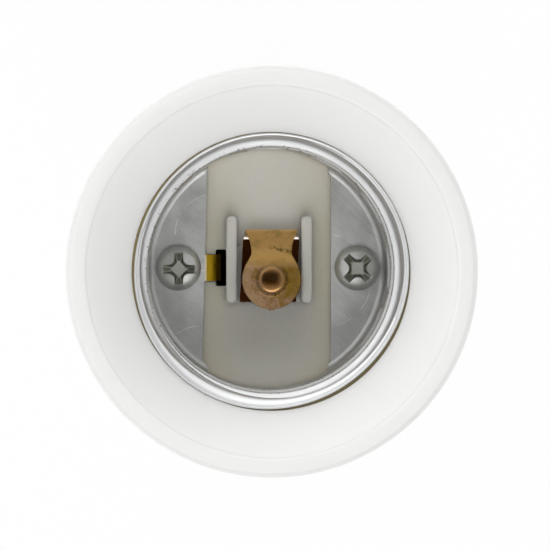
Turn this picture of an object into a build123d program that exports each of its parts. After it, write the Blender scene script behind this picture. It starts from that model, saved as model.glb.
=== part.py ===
"""Lamp socket adapter.

A large screw lamp goes into the flared mouth, and the small screw base goes into an
ordinary lamp holder. Units are millimetres. The axis of the adapter is Z, with the
origin in the plane where the rim of the small base meets the shoulder of the housing.
+Z points out of the mouth. +X and +Y lie across it, with the two shell screws on X.
"""
import os
from math import radians, sqrt, tan

from build123d import *

os.makedirs("parts", exist_ok=True)

# Housing
mouth_radius = 29.0        # outside of the flared mouth
mouth_land = 2.8           # flat ring round the mouth
funnel_depth = 15.0        # from the mouth down to the lip of the screw shell
flare_drop = 1.5           # how far below the lip the outside starts to flare
barrel_wall = 2.85         # wall beside the screw shell
floor_height = 17.0        # top of the floor above the shoulder
floor_thickness = 3.0
collar_step = 1.8          # round shoulder, past the small base
collar_height = 3.0
cone_height = 13.0         # outside cone between the shoulder and the barrel
neck_length = 17.0         # neck inside the small base
neck_wall = 2.7
brim_edge = 0.8            # bevel of the outer edge of the mouth

# Guide posts and pad on the floor
post_thickness = 1.65
post_length = 13.7
post_shift = 0.15          # the pair sits off the axis along X
post_middle = 1.4          # along Y
post_height = 5.0
post_round = 0.5
pad_length = 9.0
pad_middle = -1.0          # along Y
pad_height = 1.2

# Screw shell of the large socket
shell_radius = 19.85       # inside of the threaded wall
shell_sheet = 0.5
shell_depth = 28.0         # lip above the floor
foot_inset = 1.55          # the plain foot inside the threaded wall
foot_height = 10.5         # top of the plain foot above the floor
foot_step = 1.2            # height of the step from the foot to the threaded wall
lug_edge = 10.05           # straight edge of the lugs, from the axis
lug_skew = 2.2             # degrees, the left edge is cut a little askew
shell_gap = 0.3            # between the screw shell and the housing

# Shell screws
screw_wall_gap = 0.5       # between a head and the foot of the screw shell
screw_head_radius = 3.6
screw_head_height = 2.3
screw_radius = 1.75
screw_length = 9.0
recess_span = 5.0          # cross recess, tip to tip
recess_arm = 1.3
recess_depth = 1.5
recess_taper = 12.0        # degrees
left_cross = 0.0           # degrees that each cross is turned
right_cross = 45.0

# Centre contact, a folded strip
contact_sheet = 0.6
contact_shift = 0.5        # seat of the strip along X
leg_width = 8.9
leg_skew = 3.0             # degrees, the leg lies a little askew
leg_end = -5.4             # free end of the lower leg along Y
bend_reach = 6.1           # outside of the hairpin bend along Y
bend_radius = 1.3          # middle of the sheet
bend_width = 8.6
arm_slope = 42.0           # degrees
arm_width = 6.3            # at the neck
arm_neck = 2.4             # the neck along Y
knee_radius = 1.5
plate_radius = 4.65
plate_middle = -1.75       # along Y
plate_clearance = 0.1      # between the plate and the nearer guide post
nipple_base = 2.75
nipple_top = 1.6
nipple_height = 0.5

# Rivet of the centre contact
rivet_radius = 1.25
rivet_head = 2.2
rivet_head_height = 0.7
rivet_clench = 2.0
rivet_clench_height = 0.6

# Brass leads
strip_width = 4.2
strip_sheet = 0.4
strip_bend = 1.5           # middle of the sheet
strip_end = 2.9            # past the middle of the screw
slot_width = 1.7
slot_side = 0.825          # beside the strip in the slot
slot_clearance = 0.4       # between the strip and the outer wall of the slot
tail_top = 2.0             # the strip turns out to the small base, below the shoulder
tail_slant = 5.0           # height of the slanting stretch
tail_length = 6.0          # stretch along the wall of the small base
lead_width = 4.0
lead_reach = 5.0           # upright stretch of the centre lead along X
lead_tab = 2.5             # past the middle of the rivets
lead_bend = 0.8            # middle of the sheet

# Small screw base
cap_radius = 13.2          # outside of the threaded wall
cap_sheet = 0.3
cap_wall = 18.4            # height of the threaded wall
cap_taper = 2.4            # height of the taper below it
cap_opening = 9.2          # radius at the lower end
cap_seat = 4.0             # height of the seat on the neck
neck_slack = 1.2           # between the neck and the threaded wall
insulator_height = 2.8     # below the cap
insulator_end = 6.6        # radius at the end contact
insulator_plug = 2.2       # height inside the cap
end_radius = 4.75          # end contact
end_height = 1.2
end_shank = 1.6
end_clench = 2.6
end_clench_height = 0.6

# Fits
touch = 0.05               # pieces that are pressed or clamped together
pass_gap = 0.15            # holes that a piece passes through

# Heights that follow
floor = floor_height
floor_under = floor - floor_thickness
pad_top = floor + pad_height
lip = floor + shell_depth
mouth = lip + funnel_depth
lug_top = floor + shell_sheet
cap_end = -cap_wall - cap_taper
plug_top = cap_end + insulator_plug
insulator_under = cap_end - insulator_height

# Radii that follow
foot_radius = shell_radius - foot_inset
shell_outside = shell_radius + shell_sheet
cavity_radius = shell_outside + shell_gap
barrel_radius = cavity_radius + barrel_wall
land_radius = mouth_radius - mouth_land
cap_inside = cap_radius - cap_sheet
collar_radius = cap_radius + collar_step
seat_radius = cap_inside - touch
neck_radius = cap_inside - neck_slack
neck_bore = neck_radius - neck_wall
rivet_hole = rivet_radius + pass_gap

# Places along X
screw_x = foot_radius - screw_wall_gap - screw_head_radius
contact_half = max(plate_radius, leg_width / 2)
post_gap = 2 * (contact_half + contact_shift - post_shift + plate_clearance)
post_x = (post_gap + post_thickness) / 2
post_outside = post_gap / 2 + post_thickness - post_shift
slot_outside = post_outside + slot_width
slot_length = strip_width + 2 * slot_side
slot_x = post_outside + slot_width / 2
strip_x = slot_outside - slot_clearance - strip_sheet / 2
tail_x = sqrt(cap_inside**2 - (strip_width / 2) ** 2) - touch - strip_sheet / 2

# Middle line of the side strip in the XZ plane
strip_level = floor - touch - strip_sheet / 2
with BuildLine() as strip_line:
    FilletPolyline(
        (-screw_x - strip_end, strip_level),
        (-strip_x, strip_level),
        (-strip_x, -tail_top),
        (-tail_x, -tail_top - tail_slant),
        (-tail_x, -tail_top - tail_slant - tail_length),
        radius=strip_bend,
    )

# Frame and heights of the centre contact: the hairpin bend runs along X
contact_frame = Plane((contact_shift, 0, 0))
contact_side = Plane(contact_frame.origin, x_dir=(0, 1, 0), z_dir=(1, 0, 0))
leg_level = pad_top + contact_sheet / 2
bend_y = bend_reach - bend_radius - contact_sheet / 2
bend_level = leg_level + bend_radius

# The moulding: one revolved section, then the floor's posts, pad, slot and holes
with BuildPart() as housing:
    with BuildSketch(Plane.XZ):
        with BuildLine():
            Polyline(
                (seat_radius, 0),
                (collar_radius, 0),
                (collar_radius, collar_height),
                (barrel_radius, collar_height + cone_height),
                (barrel_radius, lip - flare_drop),
                (mouth_radius, mouth - brim_edge),
                (mouth_radius - brim_edge, mouth),
                (land_radius, mouth),
                (cavity_radius, lip),
                (cavity_radius, floor),
                (0, floor),
                (0, floor_under),
                (neck_bore, floor_under),
                (neck_bore, -neck_length),
                (neck_radius, -neck_length),
                (neck_radius, -cap_seat),
                (seat_radius, -cap_seat),
                close=True,
            )
        make_face()
    revolve(axis=Axis.Z)
    with BuildSketch(Plane.XY.offset(floor)):
        with Locations((post_shift - post_x, post_middle), (post_shift + post_x, post_middle)):
            RectangleRounded(post_thickness, post_length, post_round)
    extrude(amount=post_height)
    with BuildSketch(Plane.XY.offset(floor)):
        with Locations((post_shift, pad_middle)):
            Rectangle(post_gap + 2 * post_round, pad_length)
    extrude(amount=pad_height)
    with BuildSketch(Plane.XY.offset(floor)):
        with Locations((-slot_x, 0)):
            Rectangle(slot_width, slot_length)
    extrude(amount=-floor_thickness, mode=Mode.SUBTRACT)
    with BuildSketch(Plane.XZ):
        trace(strip_line.line, line_width=strip_sheet + 2 * touch)
    extrude(amount=strip_width / 2 + pass_gap, both=True, mode=Mode.SUBTRACT)
    with BuildSketch(Plane.XY.offset(-neck_length)):
        with Locations((-neck_radius, 0)):
            Rectangle(2 * neck_wall, strip_width + 2 * pass_gap)
    extrude(amount=neck_length - tail_top - tail_slant / 2, mode=Mode.SUBTRACT)
    with Locations((-screw_x, 0, lug_top), (screw_x, 0, lug_top)):
        Cylinder(
            screw_radius + touch,
            screw_length + pass_gap,
            align=(Align.CENTER, Align.CENTER, Align.MAX),
            mode=Mode.SUBTRACT,
        )
    with Locations((0, 0, pad_top)):
        Cylinder(
            rivet_hole,
            pad_height + floor_thickness,
            align=(Align.CENTER, Align.CENTER, Align.MAX),
            mode=Mode.SUBTRACT,
        )
housing.part.label = "housing"
export_step(housing.part, "parts/housing.step")

# Drawn shell: the sheet's middle line revolved, then the opening between the lugs
with BuildPart() as screw_shell:
    with BuildSketch(Plane.XZ):
        with BuildLine():
            Polyline(
                (0, floor),
                (foot_radius + shell_sheet, floor),
                (foot_radius + shell_sheet, floor + foot_height),
                (shell_outside, floor + foot_height + foot_step),
                (shell_outside, lip),
                (shell_radius, lip),
                (shell_radius, floor + foot_height + foot_step),
                (foot_radius, floor + foot_height),
                (foot_radius, lug_top),
                (0, lug_top),
                close=True,
            )
        make_face()
    revolve(axis=Axis.Z)
    skew = foot_radius * tan(radians(lug_skew))
    with BuildSketch(Plane.XY.offset(floor)):
        with BuildLine():
            Polyline(
                (lug_edge, -foot_radius),
                (lug_edge, foot_radius),
                (-lug_edge + skew, foot_radius),
                (-lug_edge - skew, -foot_radius),
                close=True,
            )
        make_face()
        Circle(foot_radius - touch, mode=Mode.INTERSECT)
        with Locations((-screw_x, 0), (screw_x, 0)):
            Circle(screw_radius + pass_gap)
    extrude(amount=shell_sheet, mode=Mode.SUBTRACT)
screw_shell.part.label = "screw_shell"
export_step(screw_shell.part, "parts/screw_shell.step")

# Two screws, each with a cross recess in its head
with BuildPart() as shell_screws:
    with Locations((-screw_x, 0, lug_top), (screw_x, 0, lug_top)):
        Cylinder(screw_head_radius, screw_head_height, align=(Align.CENTER, Align.CENTER, Align.MIN))
    for screw_place, cross in ((-screw_x, left_cross), (screw_x, right_cross)):
        with BuildSketch(Plane((screw_place, 0, lug_top + screw_head_height))):
            with Locations(Rotation(0, 0, cross), Rotation(0, 0, cross + 90)):
                Rectangle(recess_span, recess_arm)
        extrude(amount=-recess_depth, taper=recess_taper, mode=Mode.SUBTRACT)
    with Locations((-screw_x, 0, lug_top), (screw_x, 0, lug_top)):
        Cylinder(screw_radius, screw_length, align=(Align.CENTER, Align.CENTER, Align.MAX))
shell_screws.part.label = "shell_screws"
export_step(shell_screws.part, "parts/shell_screws.step")

# Folded strip: arm and round plate first, cut to their outline, then the leg below
with BuildPart() as centre_contact:
    with BuildSketch(contact_side):
        with BuildLine():
            upper_bend = CenterArc((bend_y, bend_level), bend_radius, 0, 90 - arm_slope)
            rise = (upper_bend @ 1).X - arm_neck
            arm = Line(upper_bend @ 1, upper_bend @ 1 + Vector(-rise, rise * tan(radians(arm_slope))))
            knee = JernArc(arm @ 1, arm % 1, knee_radius, arm_slope)
            Line(knee @ 1, Vector(plate_middle - plate_radius, (knee @ 1).Y))
            plate_level = (knee @ 1).Y
        trace(line_width=contact_sheet)
    extrude(amount=leg_width, both=True)
    with BuildSketch(contact_frame):
        with BuildLine():
            Line((-bend_width / 2, bend_reach), (bend_width / 2, bend_reach))
            Polyline(
                (arm_width / 2, arm_neck),
                (arm_width / 2, plate_middle),
                (-arm_width / 2, plate_middle),
                (-arm_width / 2, arm_neck),
            )
            for side in (-1, 1):
                neck = (side * arm_width / 2, arm_neck)
                TangentArc(neck, (side * bend_width / 2, bend_reach), tangent=(0, 1))
        make_face()
        with Locations((0, plate_middle)):
            Circle(plate_radius)
    extrude(amount=mouth, mode=Mode.INTERSECT)
    with Locations(contact_frame.location * Location((0, plate_middle, plate_level + contact_sheet / 2))):
        Cone(
            nipple_base,
            nipple_top,
            nipple_height,
            align=(Align.CENTER, Align.CENTER, Align.MIN),
        )
    with Locations(contact_frame.location * Location((0, plate_middle, plate_level - contact_sheet / 2))):
        Cylinder(
            nipple_top - contact_sheet / 2,
            nipple_height,
            align=(Align.CENTER, Align.CENTER, Align.MIN),
            mode=Mode.SUBTRACT,
        )
    with BuildSketch(contact_side) as leg_section:
        with BuildLine():
            Line((leg_end, leg_level), (bend_y, leg_level))
            CenterArc((bend_y, bend_level), bend_radius, -90, 90)
        trace(line_width=contact_sheet)
    extrude(leg_section.sketch, amount=bend_width / 2, both=True)
    askew = (bend_y - leg_end) * tan(radians(leg_skew))
    with BuildSketch(contact_frame.offset(pad_top)) as leg_outline:
        with BuildLine():
            Polyline(
                (-leg_width / 2 - askew, leg_end),
                (leg_width / 2 - askew, leg_end),
                (leg_width / 2, bend_y),
                (-leg_width / 2, bend_y),
                close=True,
            )
        make_face()
    extrude(leg_outline.sketch, amount=contact_sheet)
    with Locations((0, 0, pad_top)):
        Cylinder(
            rivet_hole,
            contact_sheet,
            align=(Align.CENTER, Align.CENTER, Align.MIN),
            mode=Mode.SUBTRACT,
        )
centre_contact.part.label = "centre_contact"
export_step(centre_contact.part, "parts/centre_contact.step")

# Rivet through the leg, the floor and the centre lead
leg_top = pad_top + contact_sheet
lead_under = floor_under - strip_sheet
with BuildPart() as contact_rivet:
    with BuildSketch(Plane.XZ):
        with BuildLine():
            Polyline(
                (0, leg_top + rivet_head_height),
                (rivet_head, leg_top + rivet_head_height),
                (rivet_head, leg_top),
                (rivet_radius, leg_top),
                (rivet_radius, lead_under),
                (rivet_clench, lead_under),
                (rivet_clench, lead_under - rivet_clench_height),
                (0, lead_under - rivet_clench_height),
                close=True,
            )
        make_face()
    revolve(axis=Axis.Z)
contact_rivet.part.label = "contact_rivet"
export_step(contact_rivet.part, "parts/contact_rivet.step")

# Brass strip from under the left lug to the wall of the small base
with BuildPart() as side_strip:
    with BuildSketch(Plane.XZ):
        trace(strip_line.line, line_width=strip_sheet)
    extrude(amount=strip_width / 2, both=True)
    with Locations((-screw_x, 0, strip_level)):
        Cylinder(screw_radius + pass_gap, 2 * strip_sheet, mode=Mode.SUBTRACT)
side_strip.part.label = "side_strip"
export_step(side_strip.part, "parts/side_strip.step")

# Brass strip from the contact's rivet to the end contact, with a tab at each end
with BuildPart() as centre_lead:
    with BuildSketch(Plane.XZ):
        with BuildLine():
            FilletPolyline(
                (-lead_tab, floor_under - strip_sheet / 2),
                (lead_reach, floor_under - strip_sheet / 2),
                (lead_reach, plug_top + strip_sheet / 2),
                (-lead_tab, plug_top + strip_sheet / 2),
                radius=lead_bend,
            )
        trace(line_width=strip_sheet)
    extrude(amount=lead_width / 2, both=True)
    with Locations((0, 0, floor_under)):
        Cylinder(rivet_hole, 2 * strip_sheet, mode=Mode.SUBTRACT)
    with Locations((0, 0, plug_top)):
        Cylinder(end_shank + pass_gap, 2 * strip_sheet, mode=Mode.SUBTRACT)
centre_lead.part.label = "centre_lead"
export_step(centre_lead.part, "parts/centre_lead.step")

# Screw shell of the small base
with BuildPart() as base_cap:
    with BuildSketch(Plane.XZ):
        with BuildLine():
            Polyline(
                (cap_radius, 0),
                (cap_radius, -cap_wall),
                (cap_opening, cap_end),
                (cap_opening - cap_sheet, cap_end),
                (cap_inside, -cap_wall),
                (cap_inside, 0),
                close=True,
            )
        make_face()
    revolve(axis=Axis.Z)
base_cap.part.label = "base_cap"
export_step(base_cap.part, "parts/base_cap.step")

# Insulating plug in the end of the small base
plug_radius = cap_opening - cap_sheet - touch
with BuildPart() as base_insulator:
    with BuildSketch(Plane.XZ):
        with BuildLine():
            Polyline(
                (end_shank + touch, plug_top),
                (plug_radius, plug_top),
                (plug_radius, cap_end),
                (insulator_end, insulator_under),
                (end_shank + touch, insulator_under),
                close=True,
            )
        make_face()
    revolve(axis=Axis.Z)
base_insulator.part.label = "base_insulator"
export_step(base_insulator.part, "parts/base_insulator.step")

# End contact, riveted through the plug and the centre lead
end_clench_under = plug_top + strip_sheet
with BuildPart() as base_contact:
    with BuildSketch(Plane.XZ):
        with BuildLine():
            Polyline(
                (0, insulator_under - end_height),
                (end_radius, insulator_under - end_height),
                (end_radius, insulator_under),
                (end_shank, insulator_under),
                (end_shank, end_clench_under),
                (end_clench, end_clench_under),
                (end_clench, end_clench_under + end_clench_height),
                (0, end_clench_under + end_clench_height),
                close=True,
            )
        make_face()
    revolve(axis=Axis.Z)
base_contact.part.label = "base_contact"
export_step(base_contact.part, "parts/base_contact.step")
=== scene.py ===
# %% [markdown]
# # Lamp socket adapter
# The photograph looks straight down the axis into the mouth of a white moulded adapter.
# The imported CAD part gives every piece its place. This script dresses that part: it rebuilds
# the pieces whose threads, folds and rounded edges show, gives each surface a finish, and
# lights the whole as in a white tent.

from math import acos, asin, atan2, copysign, cos, hypot, pi, radians, sin, sqrt, tan

import bmesh
import bpy
from mathutils import Matrix, Vector


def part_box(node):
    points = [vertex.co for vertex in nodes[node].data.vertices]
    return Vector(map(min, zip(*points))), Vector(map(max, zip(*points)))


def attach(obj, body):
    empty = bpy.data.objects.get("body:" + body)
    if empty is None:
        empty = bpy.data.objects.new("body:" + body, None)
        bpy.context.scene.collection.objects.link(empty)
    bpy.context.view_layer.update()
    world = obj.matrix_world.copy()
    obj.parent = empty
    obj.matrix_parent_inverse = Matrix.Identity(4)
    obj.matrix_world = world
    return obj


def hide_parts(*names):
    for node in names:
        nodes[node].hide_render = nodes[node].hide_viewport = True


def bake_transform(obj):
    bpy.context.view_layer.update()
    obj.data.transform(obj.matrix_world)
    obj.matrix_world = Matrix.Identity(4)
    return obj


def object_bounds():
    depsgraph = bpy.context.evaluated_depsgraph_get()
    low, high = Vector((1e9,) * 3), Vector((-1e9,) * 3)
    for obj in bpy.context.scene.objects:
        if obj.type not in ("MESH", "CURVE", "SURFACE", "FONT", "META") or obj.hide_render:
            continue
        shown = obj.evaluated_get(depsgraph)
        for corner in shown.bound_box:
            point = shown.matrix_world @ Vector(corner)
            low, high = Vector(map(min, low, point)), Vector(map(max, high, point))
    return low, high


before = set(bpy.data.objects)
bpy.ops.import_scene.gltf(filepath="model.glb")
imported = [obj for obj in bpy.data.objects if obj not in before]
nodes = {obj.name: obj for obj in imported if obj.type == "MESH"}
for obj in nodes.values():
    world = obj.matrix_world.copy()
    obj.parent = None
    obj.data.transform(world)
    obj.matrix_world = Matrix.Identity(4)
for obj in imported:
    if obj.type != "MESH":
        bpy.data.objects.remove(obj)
cad_low, cad_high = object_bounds()
scene = bpy.context.scene
MM = 0.001


def span(node):
    """Lowest and highest corner of a CAD node in millimetres."""
    low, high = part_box(node)
    return Vector(low) / MM, Vector(high) / MM


mouth_radius, mouth = span("housing")[1].x, span("housing")[1].z
neck_end = span("housing")[0].z
shell_outside, lip = span("screw_shell")[1].x, span("screw_shell")[1].z
floor = span("screw_shell")[0].z
print(f"mouth {mouth:.1f}, lip {lip:.1f} and floor {floor:.1f} mm above the shoulder")

# %% [markdown]
# ## Meshes from points
# Nearly all the pieces here come from points worked out in millimetres. Modifiers on ready-made
# meshes could give similar shapes, but points keep every size exact. One helper turns them into
# a mesh in metres, joins points that meet on the axis, turns every face outwards and shades the
# mesh smooth, with a crease only where two faces meet at a sharp angle.

# %% Mesh helper
SHARP = 35.0  # degrees between two faces that keep a crease
WELD = 1e-7  # metres between points that are joined


def add_object(name, data):
    """An object of a mesh, a light or a camera, linked to the scene."""
    piece = bpy.data.objects.new(name, data)
    scene.collection.objects.link(piece)
    return piece


def finish_mesh(name, shape, sharp=SHARP):
    """Links a bmesh as an object, smooth up to an angle between faces."""
    mesh = bpy.data.meshes.new(name)
    bmesh.ops.recalc_face_normals(shape, faces=shape.faces)
    shape.to_mesh(mesh)
    shape.free()
    mesh.polygons.foreach_set("use_smooth", [True] * len(mesh.polygons))
    mesh.set_sharp_from_angle(angle=radians(sharp))
    return add_object(name, mesh)


def add_mesh(name, points, faces, sharp=SHARP):
    """A closed mesh from points in millimetres."""
    mesh = bpy.data.meshes.new(name)
    mesh.from_pydata([Vector(p) * MM for p in points], [], faces)
    shape = bmesh.new()
    shape.from_mesh(mesh)
    bpy.data.meshes.remove(mesh)
    bmesh.ops.remove_doubles(shape, verts=shape.verts, dist=WELD)
    loose = [e for e in shape.edges if not e.link_faces]
    bmesh.ops.delete(shape, geom=loose, context="EDGES")
    return finish_mesh(name, shape, sharp)


def stand_for(piece, node):
    """The piece takes the place of a CAD node on the adapter."""
    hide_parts(node)
    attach(piece, "adapter")
    print(f"{piece.name}: {len(piece.data.polygons)} faces stand for {node}")


# %% [markdown]
# ## Rounded outlines
# A turned or moulded ring is one outline swept round the axis. Each corner of the outline is
# rounded by an arc, so the light finds an edge to catch, as on a real moulding. The bevel
# modifier could round the finished ring, but here each corner can have its own radius.

# %% Rounded outlines
def between(start, end, steps):
    """Values in even steps from a start to an end, both among them."""
    return [start + (end - start) * k / steps for k in range(steps + 1)]


def rounded(corners, steps=6):
    """A closed outline of (radius, height, rounding) corners, with an arc at each rounded one."""
    outline = []
    for i, (r, z, rounding) in enumerate(corners):
        corner = Vector((r, z))
        if not rounding:
            outline.append(corner)
            continue
        back = (Vector(corners[i - 1][:2]) - corner).normalized()
        ahead = (Vector(corners[(i + 1) % len(corners)][:2]) - corner).normalized()
        half = back.angle(ahead) / 2
        centre = corner + (back + ahead).normalized() * rounding / sin(half)
        start = corner + back * rounding / tan(half) - centre
        end = corner + ahead * rounding / tan(half) - centre
        sweep = atan2(start.x * end.y - start.y * end.x, start.dot(end))
        for a in between(0, sweep, steps):
            c, s = cos(a), sin(a)
            outline.append(centre + Vector((start.x * c - start.y * s, start.x * s + start.y * c)))
    return outline


print("helper for rounded outlines ready")

# %% [markdown]
# ## Sweep round the axis
# Blender's screw modifier can sweep an outline. Here each row of points is a function of the turn,
# so that a wall can be out of round or carry a thread. The faces close both ways, so a ring has
# no seam. A prism with two flat ends serves for the flat pieces.

# %% Sweep round the axis
ROUND = 256  # points round the axis


def grid_faces(rows, columns):
    """Quads of a grid that closes round its columns and its rows."""
    faces = []
    for i in range(rows):
        below, above = i * columns, ((i + 1) % rows) * columns
        for j in range(columns):
            ahead = (j + 1) % columns
            faces.append((below + j, below + ahead, above + ahead, above + j))
    return faces


def prism_faces(count):
    """Faces of a prism: two ends of so many points, and quads between them."""
    sides = [(i, (i + 1) % count, (i + 1) % count + count, i + count) for i in range(count)]
    return [range(count), range(count, 2 * count), *sides]


def sweep_round(name, rows, x=0.0, sharp=SHARP):
    """A ring from rows, each a function from a turn to a radius and a height."""
    points = []
    for row in rows:
        for j in range(ROUND):
            turn = 2 * pi * j / ROUND
            r, z = row(turn)
            points.append((x + r * cos(turn), r * sin(turn), z))
    return add_mesh(name, points, grid_faces(len(rows), ROUND), sharp)


def revolve(name, corners, x=0.0):
    """A ring with the same rounded outline all the way round."""
    return sweep_round(name, [lambda turn, p=p: p for p in rounded(corners)], x)


print("helpers for round pieces ready")

# %% [markdown]
# ## Lip of the shell
# The drawn shell isn't quite round: its upper wall leans to one side and is a little oval, and
# use has bent its lip further. A lattice could bend the finished mesh. A sum of waves round the
# axis is simpler, and the ledge of the housing can follow the lip by the same sum.

# %% Lip of the shell
wall_lean, wall_oval = (0.2, radians(322)), (0.06, radians(55), 2)  # size, way and lobes
lip_lean, lip_oval, lip_lobe = (0.068, radians(153)), (0.117, radians(52), 2), (0.084, radians(2), 3)
lip_tuck = 0.031  # the lip is narrower by this all round


def wave(turn, size, way, lobes=1):
    """Distance out from a circle at a turn, with so many lobes, one of them towards a way."""
    return size * cos(lobes * (turn - way))


def out_of_round(turn):
    """Distance that the shell's upper wall lies outside a true circle."""
    return wave(turn, *wall_lean) + wave(turn, *wall_oval)


def dent(turn):
    """Distance that the lip is bent out from the wall below it."""
    return wave(turn, *lip_lean) + wave(turn, *lip_oval) + wave(turn, *lip_lobe) - lip_tuck


print(f"lip {out_of_round(0) + dent(0):.2f} mm outside a true circle at the right")

# %% [markdown]
# ## Housing
# One white moulding: a funnel at the mouth, a straight well for the screw shell, a floor, and
# below it a shoulder and a neck that the small base is pressed on. The screw modifier could turn
# it, but some rows of this sweep aren't quite round: the well's edge is a little off the middle,
# and a small ledge just under the lip closes the gap beside the shell.

# %% Housing
neck_bore, neck_radius, seat_radius, cap_seat = 9.0, 11.7, 12.85, 4.0
collar_radius, collar_height = 15.0, 3.0
cone_top, barrel_radius, flare_drop = 16.0, 23.5, 1.5
rim_chamfer, rim_width = 0.8, 2.8
land_radius = mouth_radius - rim_width
well_radius, well_off = shell_outside + 0.1, (0.185, radians(299))
ledge_radius, ledge_drop, ledge_end = shell_outside - 0.27, 0.1, 0.4
bore_radius = shell_outside + 0.02
floor_under = floor - 3.0
edge_depth, edge_width, edge_in = 1.0, 0.3, 0.06  # which rows belong to the well's edge


def housing_row(p):
    """Row of the outline, moved aside at the well's edge and bent with the lip at the ledge."""
    if p[1] < lip - edge_depth or p[0] > well_radius + edge_width:
        return lambda turn: p
    if p[0] > well_radius - edge_in:
        return lambda turn: (p[0] + wave(turn, *well_off), p[1])
    return lambda turn: (p[0] + out_of_round(turn) + dent(turn), p[1])


housing_corners = [
    (neck_bore, neck_end, 0.4),
    (neck_radius, neck_end, 0.4),
    (neck_radius, -cap_seat, 0),
    (seat_radius, -cap_seat, 0.2),
    (seat_radius, 0, 0),
    (collar_radius, 0, 0.6),
    (collar_radius, collar_height, 3.0),
    (barrel_radius, cone_top, 8.0),
    (barrel_radius, lip - flare_drop, 12.0),
    (mouth_radius, mouth - rim_chamfer, 0.5),
    (mouth_radius - rim_chamfer, mouth, 0.5),
    (land_radius, mouth, 0.45),
    (well_radius, lip, 0.05),
    (well_radius, lip - ledge_drop, 0),
    (ledge_radius, lip - ledge_drop, 0),
    (ledge_radius, lip - ledge_end, 0),
    (bore_radius, lip - ledge_end, 0),
    (bore_radius, floor, 0),
    (0, floor, 0),
    (0, floor_under, 0),
    (neck_bore, floor_under, 0),
]
housing = sweep_round("moulded_housing", [housing_row(p) for p in rounded(housing_corners)])
print(f"housing of {len(housing.data.polygons)} faces, {2 * mouth_radius:.0f} mm across")

# %% [markdown]
# ## Blocks, cuts and joins
# A moulding's square details are boxes with rounded edges. The bevel modifier could round them,
# but bmesh can round the upright corners and the top by different amounts. Holes are cut with
# the boolean modifier, and the cut mesh is kept.

# %% Blocks, cuts and joins
TINY = 0.001  # millimetres, for telling which edges lie on top


def bevel(shape, edges, rounding):
    """Rounds some edges of a bmesh by a radius in millimetres."""
    bmesh.ops.bevel(shape, geom=edges, offset=rounding * MM, segments=6, profile=0.5, affect="EDGES")


def block(name, low, high, corners, brim=0):
    """A box between two corners in millimetres, rounded at its upright corners and round its top."""
    shape = bmesh.new()
    bmesh.ops.create_cube(shape, size=1.0)
    low, high = Vector(low), Vector(high)
    for v in shape.verts:
        v.co = (low + (high - low) * (v.co + Vector((0.5, 0.5, 0.5)))) * MM
    upright = [e for e in shape.edges if abs(e.verts[0].co.z - e.verts[1].co.z) > TINY * MM]
    bevel(shape, upright, corners)
    if brim:
        top = (high.z - TINY) * MM
        bevel(shape, [e for e in shape.edges if all(v.co.z > top for v in e.verts)], brim)
    return finish_mesh(name, shape)


def carve(piece, *cutters):
    """Cuts closed meshes out of a piece, and removes the cutters."""
    for cutter in cutters:
        cut = piece.modifiers.new("cut", "BOOLEAN")
        cut.operation, cut.solver, cut.object = "DIFFERENCE", "EXACT", cutter
    bpy.context.view_layer.update()
    shown = piece.evaluated_get(bpy.context.evaluated_depsgraph_get())
    mesh = bpy.data.meshes.new_from_object(shown)
    piece.modifiers.clear()
    piece.data = mesh
    mesh.set_sharp_from_angle(angle=radians(SHARP))
    for cutter in cutters:
        bpy.data.objects.remove(cutter)


def join(piece, *others):
    """Adds the meshes of others to a piece, and removes the others."""
    shape = bmesh.new()
    for part in (piece, *others):
        shape.from_mesh(part.data)
    shape.to_mesh(piece.data)
    shape.free()
    for part in others:
        bpy.data.objects.remove(part)


print("helpers for blocks ready")

# %% [markdown]
# ## Posts, pad and slot
# Two guide posts keep the centre contact from turning, a pad carries its leg, and a slot beside
# the left post takes the brass strip down to the small base, from a shallow channel under the
# left lug. All are blocks, joined to the housing or cut out of it, so it stays one piece.

# %% Posts, pad and slot
post_shift, post_gap, post_thick = 0.15, 10.2, 1.65  # the pair sits a little off the axis
post_low, post_high, post_top = -5.45, 8.25, floor + 5.0
post_round, post_brim = 0.72, 0.3
post_outside = post_gap / 2 + post_thick - post_shift
pad_lap, pad_low, pad_high, pad_top = 0.4, -5.5, 3.5, floor + 1.2
pad_half, pad_round = post_gap / 2 + pad_lap, 0.15
slot_outside, slot_half, slot_round = post_outside + 1.7, 2.925, 0.3
strip_half, strip_sheet, screw_x = 2.1, 0.4, 14.2
channel_half, channel_floor, channel_round = strip_half + 0.15, floor - strip_sheet - 0.1, 0.05
channel_start, channel_end = -screw_x - 3, -slot_outside + 0.6
root, cut_top, cut_low = floor - 1, floor + 1, floor_under - 1  # past the floor's faces

near, far = (-slot_outside, -slot_half, cut_low), (-post_outside, slot_half, cut_top)
slot = block("slot", near, far, slot_round)
near, far = (channel_start, -channel_half, channel_floor), (channel_end, channel_half, cut_top)
channel = block("channel", near, far, channel_round)
carve(housing, slot, channel)
posts = []
for left in (post_shift - post_gap / 2 - post_thick, post_shift + post_gap / 2):
    near, far = (left, post_low, root), (left + post_thick, post_high, post_top)
    posts.append(block("post", near, far, post_round, post_brim))
near, far = (post_shift - pad_half, pad_low, root), (post_shift + pad_half, pad_high, pad_top)
pad = block("pad", near, far, pad_round, pad_round)
join(housing, *posts, pad)
stand_for(housing, "housing")

# %% [markdown]
# ## Section of the thread
# The screw shell is a drawn aluminium cup with a round thread rolled into its wall. A sweep along
# a helix could make it, but a formula is simpler: the distance of a point from the crest beside
# it gives the wall's radius there. The section is a tight arc at the crest, a straight flank and
# a wide arc in the groove.

# %% Section of the thread
shell_sheet, foot_radius = 0.5, 18.4
shell_radius = shell_outside - shell_sheet
thread_pitch, thread_depth = 6.35, shell_radius - foot_radius
crest_arc, groove_arc, flank = 0.4, 1.5, radians(57)


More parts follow.
